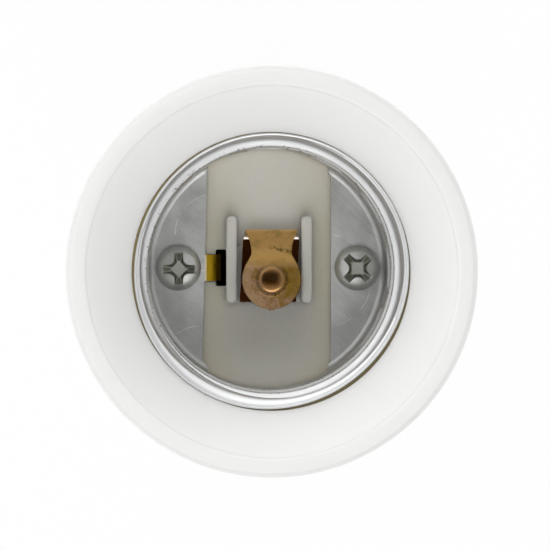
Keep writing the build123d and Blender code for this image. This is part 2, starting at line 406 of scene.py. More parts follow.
def ease(low, high, x):
    """Zero before low, one after high and smooth between."""
    t = min(max((x - low) / (high - low), 0), 1)
    return t * t * (3 - 2 * t)


def round_thread(off, depth):
    """Share of a groove's depth that the wall has at a distance from a crest's top along the axis."""
    c, s = cos(flank), sin(flank)
    straight = (depth - (crest_arc + groove_arc) * (1 - c)) / s
    crest_end = crest_arc * s
    flank_end = crest_end + straight * c
    if off < crest_end:
        return (crest_arc - sqrt(crest_arc**2 - off**2)) / depth
    if off < flank_end:
        return (crest_arc * (1 - c) + (off - crest_end) * s / c) / depth
    left = max(flank_end + groove_arc * s - off, 0)
    return (depth - groove_arc + sqrt(groove_arc**2 - left**2)) / depth


print(f"thread of {thread_pitch} mm pitch, {thread_depth:.2f} mm deep")

# %% [markdown]
# ## Start of the thread
# The thread starts under the lip and ends in the plain foot. A crest's age is the number of turns
# since the start. In its first half turn the crest grows out of the wall, and then the groove
# above it opens. At the first full turn the wall under the lip is a little narrower, as a brow.
# Three functions of the age say so, and smooth steps keep the wall free of edges.

# %% Start of the thread
crest_grown = 0.47  # the age of a crest at its full height
groove_first, groove_opens, groove_open = 0.3, 0.36, 0.74  # share at first, ages as it opens
brow_depth, brow_starts, brow_full, brow_ends, brow_gone = 0.22, 0.75, 1.0, 1.15, 1.4


def grown(age):
    """Share of its height that a crest has at an age."""
    return ease(0, crest_grown, age)


def brow(age):
    """Depth that the groove above a crest lacks at the first full turn."""
    return brow_depth * ease(brow_starts, brow_full, age) * ease(brow_gone, brow_ends, age)


def groove_radius(age):
    """Inside radius of the groove above a crest of an age."""
    opened = groove_first + (1 - groove_first) * ease(groove_opens, groove_open, age)
    return shell_radius - grown(age) * (1 - opened) * thread_depth - brow(age)


print(f"groove radius {groove_radius(groove_opens):.2f} mm at first and {groove_radius(2):.2f} later")

# %% [markdown]
# ## Wall of the screw shell
# At a turn and a height, the crest beside that point and its age give the radius of the thread.
# The thread fades into the foot, which widens towards the floor and sits a little to one side.
# The bent lip is added last. The wall could be sculpted, but a function can be tried with one
# pair of numbers.

# %% Wall of the screw shell
crest_angle, crest_drop = radians(150), 3.5  # the first crest, below the lip
run_in = radians(390)  # where the thread starts
run_out, run_fade = 2.4, 0.3  # turns down to the foot, and its fading
foot_top, foot_flare, flare_above, flare_below = floor + 12.0, 0.55, 2, 8
foot_off = 0.2, radians(215)  # to one side
lip_flare, lip_slope, lip_least, dent_depth = -0.02, 0.95, 0.2, 1.5


def wall_radius(turn, z):
    """Inside radius of the shell at a turn and a height."""
    crest = lip - crest_drop + thread_pitch * (turn - crest_angle) / (2 * pi)
    phase = (crest - z) / thread_pitch
    begun = (run_in - turn) / (2 * pi)
    near = round(phase)
    age = near + begun
    below = groove_radius(age + 1)
    top = below - grown(age) * (below - foot_radius)
    nearest = age if phase < near else age + 1
    share = round_thread(abs(phase - near) * thread_pitch, thread_depth - brow(nearest))
    threaded = top + (groove_radius(nearest) - top) * share
    widened = foot_flare + wave(turn, *foot_off)
    foot = foot_radius + widened * ease(foot_top + flare_above, foot_top - flare_below, z)
    ended = ease(run_out - run_fade, run_out, phase // 1 + begun)
    radius = threaded + (foot - threaded) * ended
    wide = shell_radius + lip_flare - radius
    radius += wide * ease(lip - max(lip_slope * wide, lip_least), lip, z)
    radius += out_of_round(turn) * ease(foot_top, lip, z)
    return radius + dent(turn) * ease(lip - dent_depth, lip, z)


print(f"inside radius {wall_radius(0, lip):.2f} mm at the lip, {wall_radius(0, floor):.2f} at the floor")

# %% [markdown]
# ## Rows of the screw shell
# The rows of the sweep run over the rounded lip, down the inside, through a fillet where a lug
# starts, and back up the outside. The solidify modifier could thicken the sheet, but it would
# leave the lip square.

# %% Rows of the screw shell
lug_top, lug_fillet, lug_edge = floor + shell_sheet, 0.95, 10.05
lug_fades, lug_full = lug_edge - 0.6, lug_edge + 0.2  # where the fillet fades out beside a lug
lip_round = shell_sheet / 2
lip_rows, thread_rows, foot_rows, fillet_rows, outside_step = 8, 190, 20, 6, 5
thread_top, foot_low = lip - lip_round, lug_top + lug_fillet
heights = between(thread_top, foot_top, thread_rows)
heights += between(foot_top, foot_low, foot_rows)[1:]


def foot_edge(turn):
    """Inside radius of the foot at the floor."""
    return wall_radius(turn, floor)


def at_lug(turn):
    """One where the wall meets a lug and zero between the lugs."""
    return ease(lug_fades, lug_full, abs(cos(turn)) * foot_edge(turn))


def lip_row(bend):
    """Row over the round lip, from the outside at no bend to the inside."""
    return lambda turn: (
        wall_radius(turn, lip) + lip_round + lip_round * cos(bend),
        thread_top + lip_round * sin(bend),
    )


def fillet_row(bend):
    """Row of the fillet between the wall and a lug."""
    return lambda turn: (
        foot_edge(turn) - lug_fillet * (1 - cos(bend)) * at_lug(turn),
        lug_top + lug_fillet * (1 - sin(bend)),
    )


shell_rows = [lip_row(bend) for bend in between(0, pi, lip_rows)]
shell_rows += [lambda turn, z=z: (wall_radius(turn, z), z) for z in heights[1:]]
shell_rows += [fillet_row(bend) for bend in between(0, pi / 2, fillet_rows)[1:]]
shell_rows += [lambda turn: (foot_edge(turn) - lug_fillet * at_lug(turn), floor)]
shell_rows += [lambda turn: (foot_edge(turn) + shell_sheet, floor)]
back_up = reversed(heights[outside_step::outside_step])
shell_rows += [lambda turn, z=z: (wall_radius(turn, z) + shell_sheet, z) for z in back_up]
shell = sweep_round("threaded_shell", shell_rows, sharp=50.0)
print(f"screw shell of {len(shell_rows)} rows")

# %% [markdown]
# ## Lugs of the shell
# Two flat lugs at the bottom take the screws. Each is a segment with one straight edge, the left
# one a little askew, as in the photograph. They could be cut from a whole bottom. A prism is
# plainer, and a few rounds of trial find its ends, because the foot isn't quite round.

# %% Lugs of the shell
lug_skew = radians(2.2)


def lug(side, skew, lap=0.01, rounds=6, steps=64):
    """One flat lug, an arc of the bottom closed by a straight edge."""
    lean = tan(skew)

    def reach(turn):
        return foot_edge(turn if side > 0 else pi - turn) - lug_fillet + lap

    ends = [-1.0, 1.0]
    for i in (0, 1) * rounds:
        half = copysign(sqrt(reach(ends[i]) ** 2 - lug_edge**2), ends[i])
        ends[i] = atan2(half, lug_edge - lean * half)
    outline = [(side * reach(a) * cos(a), reach(a) * sin(a)) for a in between(*ends, steps)]
    points = [(x, y, z) for z in (lug_top, floor) for x, y in outline]
    return add_mesh("lug", points, prism_faces(len(outline)))


join(shell, lug(-1, lug_skew), lug(1, 0.0))
stand_for(shell, "screw_shell")

# %% [markdown]
# ## Cross recess
# A tapered punch gives a screw its recess: on top a cross with rounded corners between its arms
# and a thin chamfer, below it a small star. Two crossed boxes would cut it without the taper, so
# the cutter is one closed mesh of three outlines.

# %% Cross recess
head_top, dome_radius = lug_top + 2.3, 8.0
recess_tip, recess_arm, recess_round, recess_depth = 2.58, 0.67, 1.0, 1.5
star_tip, star_power, chamfer = 1.45, 0.87, 0.1


def cross_edge(c, s):
    """Radius of the rounded cross where the cosine and sine of the turn are c and s."""
    large, small = max(c, s), min(c, s)
    middle = recess_arm + recess_round
    if small * middle > large * recess_arm:
        return middle * (c + s) - sqrt(recess_round**2 - (middle * (c - s)) ** 2)
    return min(recess_tip / large, recess_arm / max(small, 1e-6))


def cross(x, y, turn):
    """A cutter with the rounded cross on top and a four-pointed star at the bottom."""
    count, above = 320, 0.3
    outlines = [[], [], []]
    for k in range(count):
        a = 2 * pi * k / count
        c, s = abs(cos(a)), abs(sin(a))
        edge = cross_edge(c, s)
        face = head_top - edge**2 / (2 * dome_radius)
        star = star_tip / (c**star_power + s**star_power) ** (1 / star_power)
        rim = edge + above + chamfer + head_top - face
        levels = (rim, head_top + above), (edge, face - chamfer), (star, head_top - recess_depth)
        for outline, (r, z) in zip(outlines, levels):
            outline.append((x + r * cos(a + turn), y + r * sin(a + turn), z))
    faces = [range(count), range(2 * count, 3 * count)]
    faces += grid_faces(3, count)[: 2 * count]
    return add_mesh("cross", sum(outlines, []), faces)


print(f"cutter for a recess {recess_depth} mm deep ready")

# %% [markdown]
# ## Shell screws
# Two zinc-plated screws with low domed heads hold the shell. A head and its shank are one turned
# outline. The recesses are turned differently and sit a little off the middle, as in the
# photograph. Copies of one finished screw would look too much alike.

# %% Shell screws
head_radius, head_side, dome_edge, dome_steps = 3.6, lug_top + 1.05, 2.8, 7
shank_radius, shank_end = 1.75, lug_top - 9.0
dome = [(r, head_top - r * r / (2 * dome_radius), 0) for r in between(dome_edge, 0, dome_steps)]
screw_corners = [
    (0, shank_end, 0),
    (shank_radius, shank_end, 0.3),
    (shank_radius, lug_top, 0),
    (head_radius, lug_top, 0.15),
    (head_radius, head_side, 0.6),
    *dome,
]
screws = []
for x, off, turn in ((-screw_x, 0.2, 0.0), (screw_x, 0.05, pi / 4)):
    screw = revolve("shell_screw", screw_corners, x)
    carve(screw, cross(x + off / 2, -off, turn))
    screws.append(screw)
join(*screws)
stand_for(screws[0], "shell_screws")

# %% [markdown]
# ## Centre contact
# A copper strip folded into a hairpin: a leg lies on the pad between the posts, the bend turns
# it over, and the arm climbs to a round plate with a nipple pressed into it. A curve with a
# bevel could draw a strip of one width. This strip's width changes, so it is a grid along its
# path, and each station has a place, a direction and half a width.

# %% Path of the centre contact
contact_sheet = 0.6
contact_shift, leg_skew = 0.5, tan(radians(3.0))  # the leg lies a little askew
leg_half, leg_end, leg_level = 4.45, -5.4, pad_top + contact_sheet / 2
bend_radius, bend_y, bend_half = 1.3, 4.5, 4.3
bend_reach = bend_y + bend_radius + contact_sheet / 2
arm_slope, arm_half, arm_neck, arm_end = radians(42), 3.15, 2.4, 0.5
flare_power, merge_power = 2.2, 8
arm_way, knee_radius, knee_corner = pi - arm_slope, 3.0, 1.82
knee_start = knee_corner + knee_radius * tan(arm_slope / 2)
plate_radius, plate_middle = 4.65, -1.75
nib_half, nib_length = 0.45, 0.15
leg_steps, bend_steps, arm_steps, knee_steps, plate_steps = 8, 24, 12, 12, 60


def upper_half(y):
    """Half the width of the arm, which flares out to the bend, and of the round plate below it."""
    flare = max((y - arm_neck) / (bend_reach - arm_neck), 0) ** flare_power
    arm = (arm_half + (bend_half - arm_half) * flare) * ease(plate_middle, arm_end, y)
    disc = sqrt(max(plate_radius**2 - (y - plate_middle) ** 2, 0))
    merged = (arm**merge_power + disc**merge_power) ** (1 / merge_power)
    return max(merged, nib_half)


stations = []  # y, z, direction of travel, half width
for y in between(leg_end, bend_y, leg_steps):
    stations.append((y, leg_level, 0.0, leg_half))
for a in between(0, arm_way, bend_steps)[1:]:
    y, z = bend_y + bend_radius * sin(a), leg_level + bend_radius * (1 - cos(a))
    half = leg_half + (upper_half(bend_y + bend_radius) - leg_half) * ease(0, pi / 2, a)
    stations.append((y, z, a, half if a < pi / 2 else upper_half(y)))
bend_end_y, bend_end_z = stations[-1][:2]
for y in between(bend_end_y, knee_start, arm_steps)[1:]:
    z = bend_end_z + (bend_end_y - y) * tan(arm_slope)
    stations.append((y, z, arm_way, upper_half(y)))
arm_top = z
for a in between(arm_way, pi, knee_steps)[1:]:
    y = knee_start - knee_radius * (sin(arm_way) - sin(a))
    z = arm_top + knee_radius * (cos(arm_way) - cos(a))
    stations.append((y, z, a, upper_half(y)))
plate_level = stations[-1][1]
print(f"plate {plate_level - floor:.2f} mm above the floor, {len(stations)} stations up to it")

# %% [markdown]
# ## Plate, nipple and sheet of the contact
# The plate's stations crowd together towards its far end, where the round edge closes. A small
# nib is left there from shearing. The nipple is a bump of the whole sheet, so both faces move
# together, as in a press. The displace modifier would thicken the sheet instead.

# %% Sheet of the centre contact
first = acos((stations[-1][0] - plate_middle) / plate_radius)
last = pi - asin(nib_half / plate_radius)
for a in between(first, last, plate_steps)[1:]:
    y = plate_middle + plate_radius * cos(a)
    stations.append((y, plate_level, pi, upper_half(y)))
stations.append((y - nib_length, plate_level, pi, nib_half))

nipple_base, nipple_top, nipple_height, nipple_dome = 2.75, 1.7, 0.4, 0.08
across, edge_round = 49, 0.12


def pressed(x, y):
    """Height that the press gives the plate at a place."""
    d = hypot(x, y - plate_middle)
    dome = nipple_dome * max(1 - (d / nipple_top) ** 2, 0)
    return nipple_height * (1 - ease(nipple_top, nipple_base, d)) + dome


def loop(half):
    """Points round the strip's section, as (across, through) pairs."""
    bevel = min(edge_round, half / 2)
    flat, thick = half - bevel, contact_sheet / 2
    top = [(flat * (2 * i / (across - 1) - 1), thick) for i in range(across)]
    side = [(half, thick - bevel), (half, bevel - thick)]
    under = [(x, -t) for x, t in reversed(top)]
    return top + side + under + [(-x, -t) for x, t in side]


points = []
plate_start = len(stations) - plate_steps - 1
for i, (y, z, a, half) in enumerate(stations):
    for x, t in loop(half):
        up = pressed(x, y) if i >= plate_start else 0.0
        askew = leg_skew * (y - bend_y) * (1 - ease(0, pi / 2, a))
        points.append((x + contact_shift + askew, y + sin(a) * t, z - cos(a) * t + up))
columns = 2 * across + 4
faces = grid_faces(len(stations), columns)[:-columns]
faces += [range(columns), range((len(stations) - 1) * columns, len(stations) * columns)]
contact = add_mesh("folded_contact", points, faces)
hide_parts("centre_contact")
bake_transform(contact)
print(f"{contact.name}: {len(contact.data.polygons)} faces")

# %% [markdown]
# ## Small screw base
# A plated cap with a round thread, pressed on the neck. A screw modifier could wind the thread,
# but it has to fade out at both ends, so here too it is a formula: a cosine wave wound round the
# wall. A shoulder below the thread holds the black plug.

# %% Small screw base
cap_radius, cap_end = span("base_cap")[1].x, span("base_cap")[0].z
cap_sheet, cap_wall, cap_opening, shoulder_sheet = 0.3, -18.4, 9.2, 0.1
cap_pitch, cap_depth, cap_starts, cap_full = 3.63, 1.0, -3.2, -5.2
cap_thins, cap_ends = cap_wall + 2.4, cap_wall + 0.2
wall_low, wall_steps = cap_wall + 0.6, 110


def cap_wall_radius(turn, z):
    """Outside radius of the cap's wall at a turn and a height."""
    full = ease(cap_starts, cap_full, z) * ease(cap_ends, cap_thins, z)
    phase = (z / cap_pitch - turn / (2 * pi)) % 1.0
    return cap_radius - cap_depth * full * (0.5 - 0.5 * cos(2 * pi * phase))


edge, bend = (cap_opening, cap_end, 0.3), (cap_radius, cap_wall, 1.6)
shoulder = rounded([(0, cap_end, 0), edge, bend, (cap_radius, 0, 0)])[1:-1]
wall = between(wall_low, 0, wall_steps)
cap_rows = [lambda turn, p=p: p for p in shoulder]
cap_rows += [lambda turn, z=z: (cap_wall_radius(turn, z), z) for z in wall]
cap_rows += [lambda turn, z=z: (cap_wall_radius(turn, z) - cap_sheet, z) for z in reversed(wall)]
cap_rows += [lambda turn, p=p: (p[0] - cap_sheet, p[1] + shoulder_sheet) for p in reversed(shoulder)]
cap = sweep_round("threaded_cap", cap_rows, sharp=45.0)
stand_for(cap, "base_cap")

# %% [markdown]
# ## Brass strip
# A strip of brass runs from under the left lug through the slot to the small base. Its path in
# the upright plane gets round corners, and the sheet is drawn on both sides of that path. The
# CAD base has a smooth wall, so here the tail leans in behind the thread's grooves.

# %% Brass strip
strip_bend, strip_start, strip_hole, slot_clear = 1.5, -screw_x - 2.9, 2.0, 0.4
strip_level, strip_x = floor - strip_sheet / 2, slot_outside - slot_clear - strip_sheet / 2
tail_x = cap_radius - cap_depth - cap_sheet - strip_sheet
tail_top, tail_start, tail_end = -2.0, -7.0, span("side_strip")[0].z
path_corners = [
    (strip_start, strip_level, 0),
    (-strip_x, strip_level, strip_bend),
    (-strip_x, tail_top, strip_bend),
    (-tail_x, tail_start, strip_bend),
    (-tail_x, tail_end, 0),
]
path = rounded(path_corners)
over, under = [], []
for i, place in enumerate(path):
    ahead = (path[min(i + 1, len(path) - 1)] - path[max(i - 1, 0)]).normalized()
    aside = Vector((-ahead.y, ahead.x)) * strip_sheet / 2
    over.append(place + aside)
    under.append(place - aside)
outline = over + under[::-1]
points = [(x, y, z) for y in (-strip_half, strip_half) for x, z in outline]
strip = add_mesh("brass_strip", points, prism_faces(len(outline)))
hole_low, hole_top = floor - 2 * strip_sheet, floor + strip_sheet
hole = [(0, hole_low, 0), (strip_hole, hole_low, 0), (strip_hole, hole_top, 0), (0, hole_top, 0)]
carve(strip, revolve("hole", hole, -screw_x))
stand_for(strip, "side_strip")

# %% [markdown]
# ## Plug and end contact
# The plug closes the cap and keeps the end contact apart from it. Both are plain turned
# shapes with rounded edges, the contact with a slight dome, so one helper makes both.

# %% Plug and end contact
plug_under, plug_top = (corner.z for corner in span("base_insulator"))
plug_radius, plug_end, shank = 8.85, 6.6, 1.6
end_low, clench_top = (corner.z for corner in span("base_contact"))
end_radius, crown_radius, crown_drop, edge_drop = 4.75, 2.6, 0.06, 0.55
clench_radius, clench_low = 2.6, clench_top - 0.6
plug_corners = [
    (shank, plug_under, 0),
    (plug_end, plug_under, 0.5),
    (plug_radius, cap_end, 0.4),
    (plug_radius, plug_top, 0.2),
    (shank, plug_top, 0),
]
plug = revolve("plug", plug_corners)
stand_for(plug, "base_insulator")
end_corners = [
    (0, end_low, 0),
    (crown_radius, end_low + crown_drop, 4.0),
    (end_radius, end_low + edge_drop, 0.45),
    (end_radius, plug_under, 0),
    (shank, plug_under, 0),
    (shank, clench_low, 0),
    (clench_radius, clench_low, 0.2),
    (clench_radius, clench_top, 0.2),
    (0, clench_top, 0),
]
end_contact = revolve("end_contact", end_corners)
stand_for(end_contact, "base_contact")

# %% [markdown]
# ## Shader maths in plain Python
# Every finish is a small net of nodes, which could be wired by hand in the editor. To keep it
# readable here, a socket is wrapped in a class whose operators add Math nodes, so 1 - mask is
# written as it reads. Any other node comes from one method.

# %% Net and socket classes
class Net:
    """A net of nodes. One method adds any node, by its type, settings and sockets."""

    def __init__(self, owner):
        owner.use_nodes = True
        self.tree = owner.node_tree

    def node(self, kind, settings, sockets, out=0):
        """Adds a node, and returns one of its outputs."""
        made = self.tree.nodes.new("ShaderNode" + kind)
        for key, value in settings.items():
            setattr(made, key, value)
        for key, value in sockets.items():
            if isinstance(value, Socket):
                self.tree.links.new(value.socket, made.inputs[key])
            else:
                made.inputs[key].default_value = value
        return Socket(self, made.outputs[out])

    def split(self, vector):
        """The three numbers of a vector."""
        return [self.node("SeparateXYZ", {}, {0: vector}, k) for k in range(3)]


class Socket:
    """A value in a net, with the arithmetic of a number."""

    def __init__(self, net, socket):
        self.net, self.socket = net, socket

    def maths(self, operation, a, b=0.0):
        """Adds a Math node."""
        return self.net.node("Math", {"operation": operation}, {0: a, 1: b})

    def __add__(self, other):
        return self.maths("ADD", self, other)

    def __sub__(self, other):
        return self.maths("SUBTRACT", self, other)

    def __rsub__(self, other):
        return self.maths("SUBTRACT", other, self)

    def __mul__(self, other):
        return self.maths("MULTIPLY", self, other)

    def __pow__(self, other):
        return self.maths("POWER", self, other)

    def __abs__(self):
        return self.maths("ABSOLUTE", self)

    __radd__, __rmul__ = __add__, __mul__


print("classes for shader maths ready")

# %% [markdown]
# ## Finishes
# A finish is a material on the part. Blender starts it with a Principled shader. What is the same
# all over is set once, and what changes over the surface is fed to a socket. Places come from
# the object's own coordinates in millimetres, so a mask can use the sizes above.

# %% Finish class
def distance(x, y):
    """Distance of a place from an upright axis."""
    return (x * x + y * y) ** 0.5


class Finish(Net):
    """A material's net, with places on the part in millimetres."""

    def __init__(self, name, **constants):
        self.material = bpy.data.materials.new(name)
        super().__init__(self.material)
        self.shader = self.tree.nodes["Principled BSDF"]
        for socket, value in constants.items():
            self.shader.inputs[socket].default_value = value
        metres = self.node("TexCoord", {}, {}, "Object")
        sockets = {0: metres, "Scale": 1 / MM}
        self.place = self.node("VectorMath", {"operation": "SCALE"}, sockets)
        self.x, self.y, self.z = self.split(self.place)
        self.radius = distance(self.x, self.y)

    def feed(self, name, value):
        """Links a value to a socket of the shader."""
        self.tree.links.new(value.socket, self.shader.inputs[name])


def relief(finish, height, depth):
    """Feeds the normal from a height pattern, with its depth in millimetres."""
    sockets = {"Height": height, "Strength": 1.0, "Distance": depth * MM}
    finish.feed("Normal", finish.node("Bump", {}, sockets, "Normal"))


def wear(finish, *pieces):
    """Puts the finish on pieces."""
    for piece in pieces:
        piece.data.materials.clear()
        piece.data.materials.append(finish.material)
    print(f"{finish.material.name} on {', '.join(p.name for p in pieces)}")


print("class for finishes ready")

# %% [markdown]
# ## Patterns and masks
# Dirt, stains and tool marks are colours mixed by a mask, a smooth step of some value such as a
# height, a radius or a noise. Painted textures could do this too, but masks follow the part's
# own sizes. Each helper finds the net by the socket it gets.

# %% Patterns and masks
def noise(where, scale, detail=3.0, rough=0.55):
    """Cloudy pattern from 0 to 1, with so many blotches a millimetre."""
    sockets = {"Vector": where, "Scale": scale, "Detail": detail, "Roughness": rough}
    return where.net.node("TexNoise", {}, sockets, "Fac")


def stretched(x, y, z):
    """A place made of three values, to draw a pattern out along one of them."""
    return x.net.node("CombineXYZ", {}, {0: x, 1: y, 2: z})


def fade(value, low, high):
    """Zero at low, one at high and smooth between, whichever is larger."""
    sockets = {"Value": value, "From Min": low, "From Max": high}
    return value.net.node("MapRange", {"interpolation_type": "SMOOTHSTEP"}, sockets)


def tint(share, a, b):
    """Colour a where the share is zero and b where it is one."""
    colours = {6: (*a, 1) if isinstance(a, tuple) else a, 7: (*b, 1) if isinstance(b, tuple) else b}
    return share.net.node("Mix", {"data_type": "RGBA"}, {0: share, **colours}, 2)


print("patterns and masks ready")

# %% [markdown]
# ## White plastic
# A thermoset moulding: warm white, softly glossy and faintly clouded. Light goes a little way into
# it, which subsurface scattering gives. The rim and the outside are greyed as painted shade, since
# they take the most light. The floor of the well is dusty and yellowed and greyed with painted
# shade, with a painted shadow below the contact, and the gap round the lip is brown painted shade,
# darker at the lower right. The masks come from the radius, the height and the distance from the
# funnel.

# %% White plastic
cloudy = {"Subsurface Weight": 1.0, "Subsurface Radius": (1.0, 1.0, 1.0), "Subsurface Scale": 3 * MM}
plastic = Finish("white_plastic", IOR=1.5, **cloudy)
clouds = noise(plastic.place, 0.12)
grain = noise(plastic.place, 2.5, 5.0, 0.6)
x, y, z, from_well = plastic.x, plastic.y, plastic.z, plastic.radius - well_radius
above_floor = fade(z, floor - 0.6, floor - 0.2)
inside = fade(from_well, 0.6, 0.1) * above_floor
deep = inside * fade(z, lip - 2, floor + 2)
# dust and painted shade: the floor deep in the well is greyed, with a dusty mottle
dust_and_shade = deep * (0.75 + 0.5 * (grain - 0.5) + 0.4 * (clouds - 0.5))
fresh = tint(clouds, (0.935, 0.938, 0.905), (0.95, 0.952, 0.925))
funnel_slope = (land_radius - well_radius) / (mouth - lip)
from_funnel = from_well - funnel_slope * (z - lip)
beyond = fade(from_funnel, 1.2, 2.2) * fade(from_well, 1.2, 2.2)
outside = 1 - (1 - beyond) * above_floor
# painted shade: the rim and the outside are greyed, since they take the most light
rim = fade(z, mouth - 0.9, mouth - 0.1)
painted_shade_rim_outside = outside + (1 - outside) * rim * (0.9 + 0.2 * (grain - 0.5))
grey = tint(rim, (0.83, 0.83, 0.815), (0.755, 0.755, 0.745))
with_rim_shade = tint(painted_shade_rim_outside, fresh, grey)
gap_inside, gap_full = 19.6, 20.0
under_lip = fade(z, lip - 0.01, lip - 0.08)
in_gap = under_lip * inside * fade(plastic.radius, gap_inside, gap_full)
beside = fade(abs(x), 3.0, 10.0)
by_contact = fade(abs(y), 13.0, 3.0)
yellowed = tint(by_contact, (0.86, 0.805, 0.665), (0.83, 0.77, 0.57))
grime_and_shade = tint(beside, (0.85, 0.825, 0.745), yellowed)
# painted shadow on the floor below the contact, darker there
painted_shadow_below_contact = fade(y, -4.0, -8.0) * fade(y, -17.0, -11.0)
grime_and_shade = tint(painted_shadow_below_contact * (1 - 0.9 * beside), grime_and_shade, (0.72, 0.70, 0.63))
with_dust_and_shade = tint(dust_and_shade, with_rim_shade, grime_and_shade)
# painted shade in the gap under the lip: brown, darker towards the lower right
lower_right = fade(x - y, -5.0, 20.0)
gap_shade = tint(lower_right, (0.34, 0.27, 0.11), (0.19, 0.15, 0.06))
plastic.feed("Base Color", tint(in_gap, with_dust_and_shade, gap_shade))
plastic.feed("Roughness", 0.34 + 0.12 * grain + 0.15 * deep)
relief(plastic, grain, 0.01)
wear(plastic, housing)

# %% [markdown]
# ## Aluminium
# The wall was drawn and rolled, which leaves fine streaks round the axis and dark scuffs where
# lamps have rubbed on the crests. The flat lugs are brushed on the slant, with a few curved
# scratches from screwing. One noise is drawn out round the axis and another on the slant, and
# the height picks between them. A fine speckle breaks up both.

# %% Aluminium
aluminium = Finish("shell_aluminium", Metallic=1.0)
x, y, z = aluminium.x, aluminium.y, aluminium.z
streaks = noise(stretched(x * 0.12, y * 0.12, z * 7.0), 1.0, 4.0)
brushed = noise(stretched((x - y) * 0.16, (x + y) * 4.0, z), 1.0, 4.0, 0.65)
on_lug = fade(z, lug_top + 0.12, lug_top + 0.02)
lines = streaks + on_lug * (brushed - streaks)
blotches = noise(aluminium.place, 0.35, 4.0)
speckle = noise(aluminium.place, 4.0, 3.0, 0.6)
on_crest = fade(aluminium.radius, foot_radius + 0.35, foot_radius + 0.1)
crests = on_crest * fade(z, foot_top, foot_top + 4)
nicks = noise(stretched(x * 1.8, y * 1.8, z * 0.8), 1.0, 3.0, 0.6)
scuffs = crests * fade(nicks, 0.56, 0.66)
scratches = 0
scratch_arcs = (-8.5, 5.5, 6.2), (9.0, -2.0, 7.4), (-10.5, -16.0, 6.8)  # middle and radius
for middle_x, middle_y, bow in scratch_arcs:
    from_bow = distance(x - middle_x, y - middle_y)
    scratches = scratches + fade(abs(from_bow - bow), 0.09, 0.02)
scratches = scratches * on_lug * fade(blotches, 0.4, 0.6)
bright = tint(0.6 * lines + 0.4 * speckle, (0.72, 0.725, 0.73), (0.88, 0.885, 0.89))
worn = 0.35 * lines + 0.4 * blotches + 0.25 * speckle
flat = tint(fade(worn, 0.35, 0.65), (0.52, 0.525, 0.515), (0.66, 0.665, 0.66))
scratched = tint(scratches, flat, (0.9, 0.9, 0.89))
dull = tint(on_lug, (0.70, 0.70, 0.69), scratched)
low_down = fade(z, foot_top + 8, foot_top + 2)
aged_wall = tint(low_down, bright, dull)
aluminium.feed("Base Color", tint(0.7 * scuffs, aged_wall, (0.25, 0.24, 0.225)))
satin = 0.36 + 0.12 * lines + 0.14 * (blotches - 0.5) + 0.1 * (speckle - 0.5)
aluminium.feed("Roughness", satin + 0.2 * scuffs + 0.14 * low_down * (1 - on_lug) - 0.06 * on_lug)
relief(aluminium, lines + 0.7 * speckle, 0.014)
wear(aluminium, shell)

# %% [markdown]
# ## Zinc plate
# The screw heads are dull grey zinc with fine turning rings. The recess is painted dark olive as
# shade below the face of the head, a little lighter at its bottom. The distance below the dome
# tells the recess from the face.

# %% Zinc plate
zinc = Finish("zinc_steel", Metallic=1.0)
from_screw = distance(abs(zinc.x) - screw_x, zinc.y)
rings = noise(stretched(from_screw * 6.0, zinc.z * 6.0, 0.0), 1.0, 2.0)
mottled = noise(zinc.place, 1.1, 5.0, 0.6)
under_dome = zinc.z + from_screw * from_screw * (0.5 / dome_radius) - head_top
recess_end = fade(under_dome, 0.2 - recess_depth, 0.03 - recess_depth)
# painted shade: the recess is dark olive below the face of the head, lighter at its bottom
recess_shade = fade(under_dome, -0.15, -0.4) * fade(from_screw, 2.8, 2.65)
recess_shade = recess_shade * (1 - 0.45 * recess_end)
plated = tint(mottled, (0.62, 0.63, 0.605), (0.78, 0.785, 0.76))
zinc.feed("Base Color", tint(recess_shade, plated, (0.335, 0.35, 0.29)))
zinc.feed("Roughness", 0.34 + 0.14 * mottled + 0.1 * recess_shade)
relief(zinc, rings * 0.5 + mottled, 0.015)
wear(zinc, screws[0])

# %% [markdown]
# ## Masks on the copper
# The leg and the inside of the fold are still polished. The leg is painted dark, for the dark above
# it that it mirrors, and the inside of the fold is painted pale, so that its glint shows white. The
# arm is tanned. The plate has a paler rubbed edge on the left, olive stains, an olive painted shade
# on its right, dark specks below the nipple, a painted dark reflection on the nipple, partly tarnish,
# and a stained crease across the neck. Each of these is a mask, a distance or a place on the plate
# broken up by noise.

# %% Masks on the copper
copper = Finish("contact_copper", Metallic=1.0)
stains = noise(copper.place, 0.45, 5.0, 0.6)
spots = noise(copper.place, 2.2, 4.0, 0.6)
plate_x, plate_y = copper.x - contact_shift, copper.y - plate_middle
from_middle = distance(plate_x, plate_y)
on_arm = fade(copper.z, leg_level + 0.7, leg_level + 2.1)
on_plate = on_arm * fade(plate_y + stains, 3.6, 2.0)
in_fold = (1 - on_arm) * fade(copper.y, bend_y - 0.1, bend_y + 0.2)
rubbed = on_plate * fade(from_middle, 3.1, 3.5) * fade(plate_x + stains, 0.2, -1.2)
on_right = fade(plate_x + 2.0 * stains, 1.6, 3.4)
shadowed = on_plate * on_right * fade(plate_y + spots, -2.8, -1.6)
from_crease = abs(plate_y + 0.25 * plate_x - 5.0)
crease = fade(from_crease, 0.5, 0.1) * fade(plate_x, -0.8, 0.4)
specks = fade(abs(from_middle - 2.4), 0.5, 0.15) * fade(plate_x - plate_y, 0.6, 2.0)
marks = on_arm * (0.5 * crease + specks) * fade(spots, 0.5, 0.57)
knee = on_arm * fade(abs(plate_y - 3.2), 1.8, 0.6)
creased = on_arm * crease * fade(spots, 0.38, 0.52)
patches = noise(copper.place, 0.8, 3.0)
nipple_face = on_plate * fade(from_middle, nipple_top + 0.5, nipple_top)
# painted dark reflection on the nipple's top, wider than tall, partly tarnish
dark_reflection = fade(from_middle + 0.8 * abs(plate_y), 2.2, 1.1) * fade(patches + 0.3 * spots, 0.5, 0.68)
on_top = on_plate * fade(from_middle, 1.9, 1.2)
print("masks for the copper ready")
